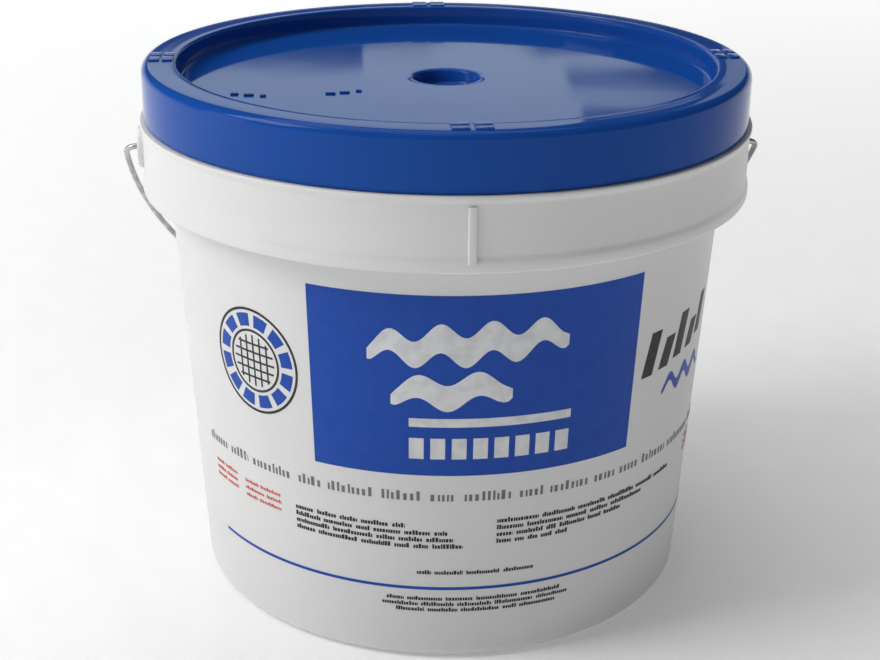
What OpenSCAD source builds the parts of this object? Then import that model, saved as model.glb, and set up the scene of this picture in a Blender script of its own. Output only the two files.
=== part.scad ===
// Cast net packed in its lidded pail.
// Origin: centre of the pail's base on the ground. +Z up, the collar's rib faces -Y,
// and the bail turns in two ears on the X axis. All lengths are millimetres.

/* [Pail] */
// Height over the closed lid
overall_h = 276.7; // [270:0.1:285]
// Outer radius of the pail at the ground
base_r = 130.7; // [126:0.1:134]
// Growth of the pail's radius for each millimetre of height
wall_draft = 0.0595; // [0.05:0.0005:0.07]
// Thickness of the pail's wall
wall_t = 2.2; // [1.8:0.1:3]
// Outer radius of the hanging collar
collar_r = 157; // [156:0.1:160]
// Height of the collar's lower edge
collar_low_z = 213.3; // [205:0.1:220]
// Height of the step that the lid's skirt closes down to
collar_top_z = 248.7; // [246:0.1:252]
// Number of gussets between the wall and the collar
gussets = 18; // [10:2:24]

/* [Lid] */
// Outer radius of the lid
lid_r = 155; // [154:0.1:156]
// Radius where the sunken panel starts
panel_r = 137.5; // [134:0.1:139]
// Depth of the sunken panel below the lid's rim
panel_drop = 10.8; // [8:0.1:12]
// Radius of the small cup in the middle of the panel
cup_r = 16.5; // [12:0.5:20]
// Depth of that cup
cup_drop = 7.5; // [4:0.5:9]

/* [Bail] */
// Diameter of the bail's wire
wire_d = 3.0; // [2.8:0.1:4.2]
// Height of the line that the bail turns on
pivot_z = 230.4; // [230:0.1:234]
// Half of the bail's width between wire centres
bail_half_w = 166; // [166:0.1:172]
// Distance from the pivot line to the grip's axis
bail_reach = 204.7; // [204:0.1:212]
// Angle of the hanging bail below level
bail_hang = 43.8; // [40:0.1:46]
// Diameter of the grip
grip_d = 22; // [18:0.5:22]
// Length of the grip
grip_l = 92; // [80:1:92]

/* [Net] */
// Diameter of the lead line's rope
lead_rope_d = 5; // [4:0.5:5]
// Diameter of each lead weight
lead_d = 10; // [8:0.5:10]
// Length of each lead weight along the rope
lead_l = 24; // [16:1:28]
// Distance from one weight to the next along the rope
lead_pitch = 40; // [36:1:60]
// Height of the horn that gathers the net's middle
horn_h = 30; // [26:1:32]
// Outer radius of the horn's flanges
horn_r = 29; // [26:1:29]

/* [Hand line] */
// Diameter of the hand line's rope
hand_d = 6; // [5:0.5:6]
// Radius of the coil at the middle of its turns
coil_r = 45; // [40:1:45]
// Turns side by side in one layer of the coil
coil_wide = 5; // [4:1:5]
// Layers in the coil
coil_layers = 4; // [2:2:4]
// Radius of the wrist loop
loop_r = 36; // [30:1:36]

/* [Hidden] */

$fn = 96;
gap = 0.3;              // space between pieces that don't bear on each other
running = 0.08;         // radial clearance of a shaft in its hole
wire_r = wire_d / 2;

// Pail: heights of its features from the ground up.
corner_r = 6;
floor_low_z = 3;
floor_z = floor_low_z + 2.4;
floor_corner_r = 5;
flange_t = 2.1;
skirt_t = 2.5;
band_h = 5.5;
neck_top_z = overall_h - 2.5;
bead_r = 149.5;
rib_w = 4;
ear_r = 11;
ear_out = 159;
ear_in = 153.2;

// Lid.
lid_t = 2.2;
lid_low_z = collar_top_z + gap;
lid_round = 4;
seal_r = 143.9;
lug_r = bead_r + gap;
pad_size = 5.4;
pad_step = 7.8;
pad_h = 0.7;
pad_ring_r = 146.6;

// Bail: one elbow, then a wide and a tight arc, meet a straight length under the grip.
elbow_r = 6;
straight_half = 48;
tight_r = 90.5;
arc_w = bail_half_w - straight_half;
arc_h = bail_reach - elbow_r;
wide_r = (arc_w * arc_w + (arc_h - tight_r) * (arc_h - tight_r) - tight_r * tight_r) / (2 * (arc_w - tight_r));
wide_turn = asin((arc_h - tight_r) / (wide_r - tight_r));
hook_x = 152;
hook_r = 4;
hook_leg = 5;

// Packed net: the lead line lies in a ring channel on the folded webbing.
channel_z = 125.5;
deck_z = 172;
lead_z0 = channel_z + 1.5 + lead_d / 2;
lead_step = lead_d + 1;
lead_r0 = 86;
lead_turns = [4, 4, 4, 3];
mound_r = 78;
rim_in_r = 126;
rim_top_z = 150;
tie_t = 0.6;
tie_w = 5;
tie_angles = [80, 190, 285, 345];

// Horn, upright on the mound, with the webbing's neck lashed round it.
horn_x = -38;
horn_y = 12;
horn_bore_r = 15;
horn_barrel_r = 20;
horn_flange_t = 3.5;
neck_in_r = horn_barrel_r + gap;
neck_out_r = neck_in_r + 2.2;
neck_foot_r = horn_r + 5;
lashing_d = 2;
lashing_turns = 5;

// Swivel, lying along X beside the horn.
swivel_y = 82;
swivel_z = 183;
barrel_x = -6;
barrel_half = 14;
barrel_r = 6.5;
barrel_wall = 3;
cavity_r = 4.8;
stem_r = 2;
eye_ring_r = 8.5;
eye_wire_r = 1.7;
eye_reach = barrel_half + 3 + eye_ring_r;
sleeve_l = 12;
sleeve_r = 2.6;
brail_loop_r = 6;
knot_loop_r = 7.5;
knot_l = 17;
knot_r = 7;
brail_bundle_d = 9;

// The bundle of brails leaves the horn, curls over and runs into its sleeves.
brail_route = [[-38, 12, 178], [-38, 12, 192], [-38.5, 12, 204], [-42, 13, 213], [-50, 17, 219],
               [-60, 24, 219], [-70, 33, 213], [-78, 44, 204], [-83, 56, 195], [-82, 68, 188],
               [-77, 76, 185], [-69, 81, 183.2], [-61, 82, 183]];

// The hand line: from its knot to the coil, and from the coil to the wrist loop.
coil_x = 52;
coil_y = -22;
coil_z = deck_z + 0.2;
run_route = [[54, 82, 183], [62, 82, 182.4], [72, 80, 180.4], [82, 75, 177.6], [91, 66, 175.8],
             [99, 54, 175.2], [104.5, 40, 175.2], [108, 24, 175.2], [109, 8, 175.2], [109, -8, 175.2],
             [109, -22, 175.2]];
tail_route = [[42, -78.2, 193.2], [33, -80, 193], [24, -79.5, 190.5], [15, -77, 186], [7, -73.5, 181.2],
              [0, -69.5, 177.4], [-6, -66.5, 175.3]];
coil_tie_angle = 140;
loop_x = -47;
loop_y = -59;
whipping_l = 16;

// Radius of the pail's outer wall at height z.
function wall_r(z) = base_r + wall_draft * z;

// Points of a circular arc about [cx, cy], from angle a0 to a1.
function arc(cx, cy, r, a0, a1, n = 8) =
    [for (i = [0:n]) [cx + r * cos(a0 + (a1 - a0) * i / n), cy + r * sin(a0 + (a1 - a0) * i / n)]];

// Smooth curve through a route's points: Catmull-Rom between each pair.
function spline_at(p0, p1, p2, p3, t) =
    0.5 * (2 * p1 + (p2 - p0) * t + (2 * p0 - 5 * p1 + 4 * p2 - p3) * t * t
           + (3 * p1 - p0 - 3 * p2 + p3) * t * t * t);
function smooth(pts, k) = let (n = len(pts))
    concat([for (i = [0:n - 2]) for (j = [0:k - 1])
        spline_at(pts[max(i - 1, 0)], pts[i], pts[i + 1], pts[min(i + 2, n - 1)], j / k)], [pts[n - 1]]);
function unit(v) = v / norm(v);
// A direction that no cord runs along, so that the rings of a swept cord never twist.
never_along = [1, 1, 1];

// A tube of diameter d through the points pts, as one closed polyhedron.
module tube(pts, d, sides = 10, across = never_along) {
    n = len(pts);
    dirs = [for (i = [0:n - 1]) unit(pts[min(i + 1, n - 1)] - pts[max(i - 1, 0)])];
    side = [for (i = [0:n - 1]) unit(cross(dirs[i], across))];
    ring_pts = [for (i = [0:n - 1]) for (s = [0:sides - 1])
        pts[i] + d / 2 * (cos(360 * s / sides) * side[i] + sin(360 * s / sides) * cross(side[i], dirs[i]))];
    skin = [for (i = [0:n - 2]) for (s = [0:sides - 1]) let (t = (s + 1) % sides)
        [i * sides + s, i * sides + t, (i + 1) * sides + t, (i + 1) * sides + s]];
    first = [for (s = [sides - 1:-1:0]) s];
    last = [for (s = [0:sides - 1]) (n - 1) * sides + s];
    polyhedron(ring_pts, concat(skin, [first], [last]));
}

// A cord of diameter d along a route's points.
module cord(route, d) {
    tube(smooth(route, 2), d);
}

// ---- Pail ----

// Section of the pail: foot ring, tapered wall, hanging collar, neck with its bead, and floor.
module pail_section() {
    flange_low = collar_top_z - flange_t;
    skirt_in = collar_r - skirt_t;
    polygon(concat(
        [[0, floor_low_z], [base_r - 15, floor_low_z], [base_r - 13, 0]],
        arc(base_r - corner_r + wall_draft * corner_r, corner_r, corner_r, -90, 0),
        [[wall_r(flange_low - 2), flange_low - 2], [wall_r(flange_low) + 2, flange_low]],
        [[skirt_in, flange_low], [skirt_in - 0.3, collar_low_z + 0.4]],
        [[skirt_in, collar_low_z], [collar_r - 0.5, collar_low_z]],
        [[collar_r, collar_low_z + 0.6], [collar_r, collar_low_z + band_h]],
        arc(collar_r + 0.8, collar_low_z + band_h + 2.4, 1.8, 200, 180, 3),
        [[collar_r - 1, collar_top_z - 3.6], [collar_r, collar_top_z - 2]],
        arc(collar_r - 0.6, collar_top_z - 0.6, 0.6, 0, 90, 4),
        [[wall_r(collar_top_z) + 1, collar_top_z], [wall_r(collar_top_z), collar_top_z + 1]],
        [[wall_r(neck_top_z - 11), neck_top_z - 11], [bead_r, neck_top_z - 7.5]],
        arc(bead_r - 2, neck_top_z - 2, 2, 0, 90, 6),
        [[wall_r(neck_top_z) - wall_t + 0.8, neck_top_z]],
        [[wall_r(neck_top_z - 1) - wall_t, neck_top_z - 1]],
        arc(wall_r(floor_z + floor_corner_r) - wall_t - floor_corner_r, floor_z + floor_corner_r,
            floor_corner_r, 0, -90),
        [[0, floor_z]]));
}

module gusset(angle) {
    rotate([0, 0, angle])
        translate([wall_r(collar_low_z) - 0.6, -0.8, collar_low_z + 9])
            cube([collar_r - skirt_t + 0.5 - wall_r(collar_low_z) + 0.6, 1.6, collar_top_z - 1 - collar_low_z - 9]);
}

module pail_body() {
    color("whitesmoke") difference() {
        union() {
            rotate_extrude($fn = 180) pail_section();
            for (i = [0:gussets - 1]) gusset(360 * (i + 0.5) / gussets);
            for (side = [-1, 1])
                translate([0, side * (collar_r - 0.6), (collar_low_z + collar_top_z) / 2])
                    cube([rib_w, 2.4, collar_top_z - collar_low_z - 9], center = true);
            for (side = [-1, 1])
                translate([side * (ear_in + ear_out) / 2, 0, pivot_z])
                    rotate([0, 90, 0]) cylinder(r = ear_r, h = ear_out - ear_in, center = true);
        }
        for (side = [-1, 1])
            translate([side * (ear_in + ear_out) / 2, 0, pivot_z])
                rotate([0, 90, 0]) cylinder(r = wire_r + running, h = 20, center = true, $fn = 48);
    }
}

// ---- Lid ----

// Section of the lid: skirt, rounded rim, sunken panel, centre cup and seal ring.
module lid_section() {
    panel_z = overall_h - panel_drop;
    rim_low = overall_h - lid_t;
    plug_r = panel_r + lid_t;
    cup_z = panel_z - cup_drop;
    polygon(concat(
        [[0, cup_z], [cup_r - 1, cup_z], [cup_r, cup_z + 1], [cup_r + 0.5, panel_z - 0.6]],
        [[cup_r + 1.1, panel_z], [panel_r - 2.4, panel_z]],
        arc(panel_r - 2.4, panel_z + 1.6, 1.6, -90, 0, 5),
        arc(panel_r + 1.3, overall_h - 1.6, 1.6, 180, 90, 5),
        arc(lid_r - lid_round, overall_h - lid_round, lid_round, 90, 0, 8),
        [[lid_r, lid_low_z + 0.8], [lid_r - 0.5, lid_low_z]],
        [[lid_r - lid_t, lid_low_z], [lid_r - lid_t, rim_low - 1], [lid_r - lid_t - 1, rim_low]],
        [[seal_r, rim_low], [seal_r, rim_low - 8], [seal_r - 0.6, rim_low - 9]],
        [[seal_r - 1.6, rim_low - 9], [seal_r - 1.8, rim_low]],
        [[plug_r, rim_low], [plug_r - 0.8, panel_z - lid_t + 1], [plug_r - 1.8, panel_z - lid_t]],
        [[cup_r + lid_t + 1, panel_z - lid_t], [cup_r + lid_t, cup_z - lid_t + 1]],
        [[cup_r + lid_t - 1, cup_z - lid_t], [0, cup_z - lid_t]]));
}

// One of the inner lugs that sit under the pail's bead.
module lid_lug(angle) {
    rotate([0, 0, angle - 5]) rotate_extrude(angle = 10)
        polygon([[lid_r - 1, 264], [lug_r, 263.4], [lug_r, 261.6], [lid_r - 1, 257]]);
}

// Four square pads on the lid's rim, two by two.
module pad_group(angle) {
    rotate([0, 0, angle])
        for (x = [-0.5, 0.5], y = [-0.5, 0.5])
            translate([x * pad_step, -pad_ring_r + y * pad_step, overall_h])
                cube([pad_size, pad_size, pad_h * 2], center = true);
}

module lid() {
    color("royalblue") union() {
        rotate_extrude($fn = 180) lid_section();
        for (i = [0:11]) lid_lug(30 * i + 15);
        for (i = [0:3]) pad_group(90 * i);
    }
}

// ---- Bail ----

// Turns a shape made in the bail's own plane (X across, Y away from the pivot) to where it hangs.
module hang_bail() {
    translate([0, 0, pivot_z]) rotate([-bail_hang, 0, 0]) children();
}

module wire_x(x0, x1, y) {
    translate([x0, y, 0]) rotate([0, 90, 0]) cylinder(r = wire_r, h = x1 - x0, $fn = 32);
}

// Centre line of one half of the bail: hook leg, hook, pin, elbow, wide arc, tight arc, middle.
function half_bail_path() = concat(
    [[hook_x - hook_r, -hook_r - hook_leg]], arc(hook_x, -hook_r, hook_r, 180, 90, 4),
    arc(bail_half_w - elbow_r, elbow_r, elbow_r, -90, 0, 5),
    [for (p = arc(bail_half_w - wide_r, elbow_r, wide_r, 0, wide_turn, 7)) if (p[1] > elbow_r) p],
    [for (i = [1:9]) let (a = wide_turn + (90 - wide_turn) * i / 9)
        [straight_half + tight_r * cos(a), bail_reach - tight_r + tight_r * sin(a)]]);

// The wire is round where it turns in the ears and where it carries the grip.
module bail_wire() {
    half = [for (p = half_bail_path()) [p[0], p[1], 0]];
    other = [for (i = [len(half) - 1:-1:0]) [-half[i][0], half[i][1], 0]];
    color("silver") hang_bail() union() {
        tube(concat(half, other), wire_d - 0.04, 12, [0, 0, 1]);
        wire_x(hook_x + 0.5, bail_half_w - elbow_r - 0.5, 0);
        wire_x(-bail_half_w + elbow_r + 0.5, -hook_x - 0.5, 0);
        wire_x(-straight_half, straight_half, bail_reach);
    }
}

// Barrel-shaped grip with a collar at each end, free to roll on the wire.
module bail_grip() {
    r = grip_d / 2;
    half = grip_l / 2;
    color("white") hang_bail() translate([0, bail_reach, 0]) rotate([0, 90, 0]) rotate_extrude()
        polygon(concat(
            [[wire_r + running, -half], [r - 1.5, -half]],
            arc(r - 1, -half + 1.5, 1, -90, 90, 6),
            [for (i = [0:10]) [r - 2.2 + 1.6 * sin(18 * i), -half + 5 + (grip_l - 10) * i / 10]],
            arc(r - 1, half - 1.5, 1, -90, 90, 6),
            [[r - 1.5, half], [wire_r + running, half]]));
}

// ---- Net ----

module at_horn() {
    translate([horn_x, horn_y, deck_z]) children();
}

// The folded webbing: fills the lower pail, with a ring channel and a mound.
module net_webbing() {
    low_z = floor_z + gap;
    color("gainsboro") rotate_extrude() polygon([[0, low_z], [wall_r(low_z) - 9, low_z],
        [wall_r(low_z + 7) - wall_t - 1, low_z + 7], [wall_r(rim_top_z - 6) - wall_t - 1, rim_top_z - 6],
        [wall_r(rim_top_z) - 9, rim_top_z], [rim_in_r + 1, rim_top_z - 4], [rim_in_r, channel_z],
        [mound_r + 1, channel_z], [mound_r, deck_z - 8], [mound_r - 6, deck_z - 0.5], [0, deck_z - 0.5]]);
}

// The webbing's neck, gathered round the horn.
module net_neck() {
    color("gainsboro") at_horn() rotate_extrude() polygon([[horn_r + gap, -0.4], [neck_foot_r, -0.4],
        [neck_foot_r - 2, 4], [neck_out_r + 1, 9], [neck_out_r, 11], [neck_out_r, horn_h - 6],
        [neck_in_r, horn_h - 6], [neck_in_r, horn_flange_t + 3], [horn_r + gap, horn_flange_t + 1]]);
}

// Calls its children at every turn of the lead line: $turn_r is its radius, $turn_z its height.
module each_lead_turn() {
    for (layer = [0:len(lead_turns) - 1], i = [0:lead_turns[layer] - 1]) {
        $turn_r = lead_r0 + lead_step * i;
        $turn_z = lead_z0 + lead_step * layer;
        $turn_shift = 11 * layer + 7 * i;
        children();
    }
}

module lead_line() {
    color("darkgreen") each_lead_turn()
        translate([0, 0, $turn_z]) rotate_extrude() translate([$turn_r, 0]) circle(d = lead_rope_d, $fn = 24);
}

module lead_weights() {
    color("dimgray") each_lead_turn() {
        count = floor(2 * PI * $turn_r / lead_pitch);
        turn = lead_l / (2 * PI * $turn_r) * 360;
        for (i = [0:count - 1])
            translate([0, 0, $turn_z]) rotate([0, 0, 360 * i / count + $turn_shift])
                rotate_extrude(angle = turn) translate([$turn_r, 0]) difference() {
                    circle(d = lead_d, $fn = 24);
                    circle(d = lead_rope_d + 0.3, $fn = 24);
                }
    }
}

// Soft ties round the coiled lead line.
module lead_line_ties() {
    in_r = lead_r0 - lead_d / 2 - gap;
    out_r = lead_r0 + 3 * lead_step + lead_d / 2 + gap;
    low = lead_z0 - lead_d / 2 - gap;
    high = lead_z0 + 3 * lead_step + lead_d / 2 + gap;
    color("ivory") for (a = tie_angles) rotate([0, 0, a]) difference() {
        translate([in_r - tie_t, -tie_w / 2, low - tie_t])
            cube([out_r - in_r + 2 * tie_t, tie_w, high - low + 2 * tie_t]);
        translate([in_r, -tie_w, low]) cube([out_r - in_r, 2 * tie_w, high - low]);
    }
}

module horn() {
    color("white") at_horn() rotate_extrude() polygon(concat(
        [[horn_bore_r + 3, 0]], arc(horn_r - 1.2, 1.2, 1.2, -90, 0, 4),
        [[horn_r, horn_flange_t - 1], [horn_r - 1, horn_flange_t], [horn_barrel_r + 1, horn_flange_t]],
        [[horn_barrel_r, horn_flange_t + 1], [horn_barrel_r, horn_h - horn_flange_t - 1]],
        [[horn_barrel_r + 1, horn_h - horn_flange_t], [horn_r - 3, horn_h - horn_flange_t]],
        arc(horn_r - 3.2, horn_h - 1.5, 1.5, -30, 90, 5),
        arc(horn_bore_r + 3, horn_h - 3, 3, 90, 180, 6),
        [[horn_bore_r, 3]], arc(horn_bore_r + 3, 3, 3, 180, 255, 4)));
}

// Twine wound round the webbing's neck.
module horn_lashing() {
    color("forestgreen") at_horn() for (i = [0:lashing_turns - 1])
        translate([0, 0, 13 + lashing_d * i]) rotate_extrude()
            translate([neck_out_r + lashing_d / 2 + 0.1, 0]) circle(d = lashing_d, $fn = 24);
}

// ---- Swivel and brails ----

module at_swivel() {
    translate([barrel_x, swivel_y, swivel_z]) rotate([0, 90, 0]) children();
}

module swivel_barrel() {
    color("goldenrod") at_swivel() rotate_extrude() polygon(concat(
        [[stem_r + running, -barrel_half], [barrel_r - 2, -barrel_half]],
        arc(barrel_r - 1.5, -barrel_half + 3, 1.5, -60, 0, 4),
        arc(barrel_r - 1.5, barrel_half - 3, 1.5, 0, 60, 4),
        [[barrel_r - 2, barrel_half], [stem_r + running, barrel_half]],
        [[stem_r + running, barrel_half - barrel_wall], [cavity_r, barrel_half - barrel_wall]],
        [[cavity_r, -barrel_half + barrel_wall], [stem_r + running, -barrel_half + barrel_wall]]));
}

// An eye of the swivel: head inside the barrel, stem through its end wall, and the ring.
module swivel_eye(side) {
    color("goldenrod") at_swivel() mirror([0, 0, side < 0 ? 1 : 0]) union() {
        head_z = barrel_half - barrel_wall - gap;
        translate([0, 0, head_z - 3]) cylinder(r = cavity_r - gap, h = 3);
        translate([0, 0, head_z - 1]) cylinder(r = stem_r, h = eye_reach - eye_ring_r - head_z + 1.6);
        translate([0, 0, eye_reach]) rotate([90, 0, 90]) rotate_extrude()
            translate([eye_ring_r, 0]) circle(eye_wire_r, $fn = 24);
    }
}

module swivel_brail_eye() { swivel_eye(-1); }

module swivel_hand_eye() { swivel_eye(1); }

// Three crimped sleeves hold the brails' loops on the swivel's eye.
module brail_sleeves() {
    low = -eye_reach - brail_loop_r - eye_ring_r + 2 - sleeve_l;
    color("gray") at_swivel() for (a = [90, 210, 330])
        rotate([0, 0, a]) translate([3.2, 0, low]) difference() {
            cylinder(r = sleeve_r, h = sleeve_l, $fn = 32);
            translate([0, 0, -1]) cylinder(r = 1.2, h = sleeve_l + 2, $fn = 24);
        }
}

module brail_lines() {
    color("honeydew") {
        cord(brail_route, brail_bundle_d);
        at_swivel() translate([0, 0, -eye_reach - brail_loop_r]) rotate([90, 0, 0]) rotate_extrude()
            translate([brail_loop_r, 0]) circle(1, $fn = 24);
    }
}

// ---- Hand line ----

// The loop through the swivel's eye and the knot that closes it. They turn with the eye.
module hand_line_knot() {
    color("gold") at_swivel() {
        translate([0, 0, eye_reach + knot_loop_r]) rotate([90, 0, 0]) rotate_extrude()
            translate([knot_loop_r, 0]) circle(d = hand_d, $fn = 24);
        translate([0, 0, eye_reach + 2 * knot_loop_r - 1]) rotate_extrude()
            polygon([for (i = [0:12]) [i == 0 || i == 12 ? 0 : 3 + (knot_r - 3) * sin(15 * i), knot_l * i / 12]]);
    }
}

module hand_line_run() {
    color("gold") cord(run_route, hand_d);
}

module hand_line_tail() {
    color("gold") cord(tail_route, hand_d);
}

module hand_line_coil() {
    w = coil_wide * hand_d;
    h = coil_layers * hand_d;
    color("gold") translate([coil_x, coil_y, coil_z]) rotate_extrude()
        translate([coil_r - w / 2, 0]) polygon(concat(
            arc(w - 3, 3, 3, -90, 0, 4), arc(w - 3, h - 3, 3, 0, 90, 4),
            arc(3, h - 3, 3, 90, 180, 4), arc(3, 3, 3, 180, 270, 4)));
}

module coil_tie() {
    w = coil_wide * hand_d + 2 * gap;
    h = coil_layers * hand_d + gap + 0.1;
    color("ivory") translate([coil_x, coil_y, coil_z - 0.1]) rotate([0, 0, coil_tie_angle])
        translate([coil_r, 0, h / 2]) difference() {
            cube([w + 2 * tie_t, tie_w, h + 2 * tie_t], center = true);
            cube([w, tie_w + 2, h], center = true);
        }
}

module wrist_loop() {
    color("gold") translate([loop_x, loop_y, deck_z + 0.3 + hand_d / 2]) rotate_extrude()
        translate([loop_r, 0]) circle(d = hand_d, $fn = 24);
}

// Whipping that closes the wrist loop where the tail joins it.
module loop_whipping() {
    color("black") translate([loop_x + loop_r + 1.5, loop_y - 1.5, deck_z + 0.3 + hand_d / 2 + 2])
        rotate([90, 0, -20]) cylinder(d = hand_d + 4, h = whipping_l, center = true);
}

pail_body();
lid();
bail_wire();
bail_grip();
net_webbing();
net_neck();
lead_line();
lead_weights();
lead_line_ties();
horn();
horn_lashing();
brail_lines();
brail_sleeves();
swivel_brail_eye();
swivel_barrel();
swivel_hand_eye();
hand_line_knot();
hand_line_run();
hand_line_coil();
hand_line_tail();
coil_tie();
wrist_loop();
loop_whipping();
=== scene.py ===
"""Looks of a cast net packed in its lidded pail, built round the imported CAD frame.

Metres, +Z up. The pail stands on the ground at the origin, its printed side faces -Y and its bail
turns about the X axis.
"""
import math
import random

import bmesh
import bpy
from mathutils import Matrix, Vector, noise


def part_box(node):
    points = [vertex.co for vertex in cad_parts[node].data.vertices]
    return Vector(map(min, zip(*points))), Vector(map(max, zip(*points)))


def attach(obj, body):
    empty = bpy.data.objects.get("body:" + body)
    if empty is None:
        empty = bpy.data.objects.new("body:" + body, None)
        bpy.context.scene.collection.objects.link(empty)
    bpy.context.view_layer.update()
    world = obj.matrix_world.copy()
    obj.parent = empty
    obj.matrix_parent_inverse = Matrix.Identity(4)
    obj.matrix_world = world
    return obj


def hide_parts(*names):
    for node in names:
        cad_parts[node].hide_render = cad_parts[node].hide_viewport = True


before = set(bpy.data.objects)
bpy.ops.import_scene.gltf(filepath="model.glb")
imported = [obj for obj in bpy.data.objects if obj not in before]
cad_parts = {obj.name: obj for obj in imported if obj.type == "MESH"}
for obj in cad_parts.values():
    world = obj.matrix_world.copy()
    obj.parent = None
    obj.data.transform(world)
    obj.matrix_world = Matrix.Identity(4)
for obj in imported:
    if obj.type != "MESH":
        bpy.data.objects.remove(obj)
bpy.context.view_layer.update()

MM = 0.001
TAU = 2 * math.pi

# Pail: the same driving dimensions as the CAD part.
BASE_R = 130.7 * MM
DRAFT = 0.0595
LID_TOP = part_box("lid")[1][2] - 0.7 * MM
COLLAR_R = 157 * MM
COLLAR_LOW = 213.3 * MM
COLLAR_TOP = 248.7 * MM
PIVOT_Z = 230.4 * MM
EAR_R = 11 * MM

# Bail.
WIRE_R = 1.5 * MM
BAIL_HALF_W = 166 * MM
BAIL_REACH = 204.7 * MM
BAIL_HANG = math.radians(43.8)
GRIP_R = 11 * MM
GRIP_L = 92 * MM

# The printed side is laid out in degrees round the wall, 0 at -Y, and millimetres of height.
PRINT_LIFT = 0.12 * MM


# ---------------------------------------------------------------- materials

def new_material(name):
    """An empty node material and its Principled shader."""
    material = bpy.data.materials.new(name)
    material.use_nodes = True
    shader = material.node_tree.nodes["Principled BSDF"]
    return material, shader


def set_inputs(node, **inputs):
    """Sets a node's named inputs, with _ for a space."""
    for key, value in inputs.items():
        node.inputs[key.replace("_", " ")].default_value = value


def add_node(material, kind, **inputs):
    """A new node of that kind with its named inputs set."""
    node = material.node_tree.nodes.new(kind)
    set_inputs(node, **inputs)
    return node


def link(material, source, socket, target, target_socket):
    material.node_tree.links.new(source.outputs[socket], target.inputs[target_socket])


def object_noise(material, scale, detail=3.0, stretch=(1, 1, 1)):
    """Noise in object space, so that its grain has a real size."""
    coords = add_node(material, "ShaderNodeTexCoord")
    mapping = add_node(material, "ShaderNodeMapping", Scale=stretch)
    texture = add_node(material, "ShaderNodeTexNoise", Scale=scale, Detail=detail)
    link(material, coords, "Object", mapping, "Vector")
    link(material, mapping, "Vector", texture, "Vector")
    return texture


def value_of(texture):
    """The socket of a noise, wave or maths node that gives its value."""
    return "Value" if texture.type == "MATH" else "Fac"


def set_colour(material, shader, texture, low, high, start=0.35, end=0.65):
    """Base colour from low to high, driven by a texture."""
    node = add_node(material, "ShaderNodeValToRGB")
    node.color_ramp.elements[0].position = start
    node.color_ramp.elements[1].position = end
    node.color_ramp.elements[0].color = (*low, 1)
    node.color_ramp.elements[1].color = (*high, 1)
    link(material, texture, value_of(texture), node, "Fac")
    link(material, node, "Color", shader, "Base Color")


def set_roughness(material, shader, texture, low, high):
    """Roughness from low to high, driven by a texture."""
    node = add_node(material, "ShaderNodeMapRange", To_Min=low, To_Max=high)
    link(material, texture, value_of(texture), node, "Value")
    link(material, node, "Result", shader, "Roughness")


def set_bump(material, shader, texture, strength, distance):
    """Bump from a texture."""
    node = add_node(material, "ShaderNodeBump", Strength=strength, Distance=distance)
    link(material, texture, value_of(texture), node, "Height")
    link(material, node, "Normal", shader, "Normal")


def moulded_plastic(name, colour, shade, roughness, grain=0.08, sheen_depth=0.0, level=0.5):
    """Moulded plastic: slight colour drift, a fine surface grain and an uneven gloss."""
    material, shader = new_material(name)
    drift = object_noise(material, 9, 4)
    set_colour(material, shader, drift, shade, colour)
    gloss = object_noise(material, 35, 5)
    set_roughness(material, shader, gloss, roughness * 0.8, roughness * 1.25)
    pores = object_noise(material, 1000, 2)
    set_bump(material, shader, pores, grain, 0.05 * MM)
    set_inputs(shader, Specular_IOR_Level=level, Subsurface_Weight=sheen_depth,
               Subsurface_Radius=(1.0, 0.95, 0.9), Subsurface_Scale=0.004)
    return material


def ink(name, colour, shade, roughness=0.42):
    """Screen-printed ink: a slightly mottled cover with a soft gloss."""
    material, shader = new_material(name)
    mottle = object_noise(material, 160, 4)
    set_colour(material, shader, mottle, shade, colour, 0.3, 0.6)
    pores = object_noise(material, 900, 2)
    set_roughness(material, shader, pores, roughness * 0.8, roughness * 1.2)
    set_bump(material, shader, pores, 0.1, 0.03 * MM)
    set_inputs(shader, Specular_IOR_Level=0.2)
    return material


def metal(name, colour, shade, roughness, scratch=(1, 1, 1), bump_mm=0.03):
    """Metal with drawn or turned marks and patches of dull oxide."""
    material, shader = new_material(name)
    patches = object_noise(material, 120, 6)
    set_colour(material, shader, patches, shade, colour)
    set_inputs(shader, Metallic=1.0)
    marks = object_noise(material, 700, 3, scratch)
    set_roughness(material, shader, marks, roughness * 0.7, roughness * 1.4)
    set_bump(material, shader, marks, 0.25, bump_mm * MM)
    return material


# ---------------------------------------------------------------- mesh helpers

def mesh_object(name, verts, faces, materials, smooth=True, sharp_deg=None):
    """A mesh object with outward normals, smooth shaded except past the sharp angle."""
    mesh = bpy.data.meshes.new(name)
    mesh.from_pydata(verts, [], faces)
    mesh.validate()
    work = bmesh.new()
    work.from_mesh(mesh)
    bmesh.ops.recalc_face_normals(work, faces=work.faces)
    work.to_mesh(mesh)
    work.free()
    for material in materials if isinstance(materials, list) else [materials]:
        mesh.materials.append(material)
    mesh.polygons.foreach_set("use_smooth", [smooth] * len(mesh.polygons))
    if sharp_deg is not None:
        mesh.set_sharp_from_angle(angle=math.radians(sharp_deg))
    piece = bpy.data.objects.new(name, mesh)
    bpy.context.scene.collection.objects.link(piece)
    return piece


class Shape:
    """Verts and faces gathered from many small parts of one piece."""

    def __init__(self):
        self.verts = []
        self.faces = []
        self.slots = []

    def add(self, verts, faces, slot=0):
        start = len(self.verts)
        self.verts += [tuple(v) for v in verts]
        self.faces += [tuple(i + start for i in face) for face in faces]
        self.slots += [slot] * len(faces)

    def piece(self, name, materials, smooth=True, sharp_deg=None):
        made = mesh_object(name, self.verts, self.faces, materials, smooth, sharp_deg)
        if any(self.slots):
            made.data.polygons.foreach_set("material_index", self.slots)
        return made


def clamped(value):
    return max(0.0, min(1.0, value))


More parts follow.
